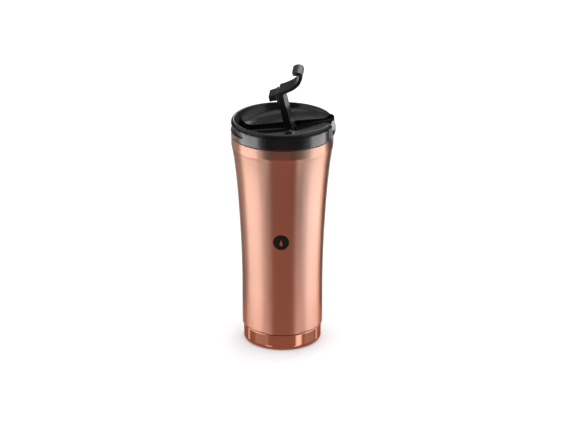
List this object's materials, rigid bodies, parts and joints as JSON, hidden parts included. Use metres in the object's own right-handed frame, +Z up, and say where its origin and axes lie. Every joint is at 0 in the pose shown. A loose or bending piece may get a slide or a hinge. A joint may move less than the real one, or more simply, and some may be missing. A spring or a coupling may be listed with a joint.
{
  "type": "insulated tumbler with flip lid",
  "caption": "Tall flared double-wall steel travel mug with a push-on black lid, a flip lever that plugs the sip slot, and a polished base cap.",
  "frame": {"origin": "centre of the base, on the surface it stands on", "axes": "+Z up the body axis; the lever closes towards -X, where the sip slot is, and parks open over the rim towards +X; Y is the hinge axis"},
  "size_m": [0.0837, 0.0822, 0.2301],
  "materials": {
    "brushed_copper": "fine brushed, rose gold tint",
    "polished_copper": "near polished, rose gold tint",
    "liner_steel": "satin",
    "pin_steel": "ground",
    "lid_plastic": "satin moulded",
    "lever_plastic": "fine moulded",
    "silicone": "matte silicone",
    "seal_resin": "cured resin"
  },
  "bodies": {
    "cup": {"outer_wall": "brushed_copper", "inner_wall": "liner_steel", "inner_bottom": "liner_steel", "outer_bottom": "liner_steel", "vacuum_seal_bead": "seal_resin", "getter": "liner_steel", "base_cap": "polished_copper"},
    "lid": {"lid_shell": "lid_plastic", "lid_insert": "lid_plastic", "lid_seal_ring": "silicone", "hinge_pin": "pin_steel"},
    "lever": {"lever_arm": "lever_plastic", "sip_plug": "silicone"}
  },
  "joints": [
    {"name": "lid_lift", "type": "slide", "parent": "cup", "child": "lid", "axis": [0, 0, 1], "range_m": [0, 0.045]},
    {"name": "lever_hinge", "type": "hinge", "parent": "lid", "child": "lever", "pos_m": [0.006, 0, 0.1799], "axis": [0, -1, 0], "range_deg": [-79.5, 82.5]}
  ]
}
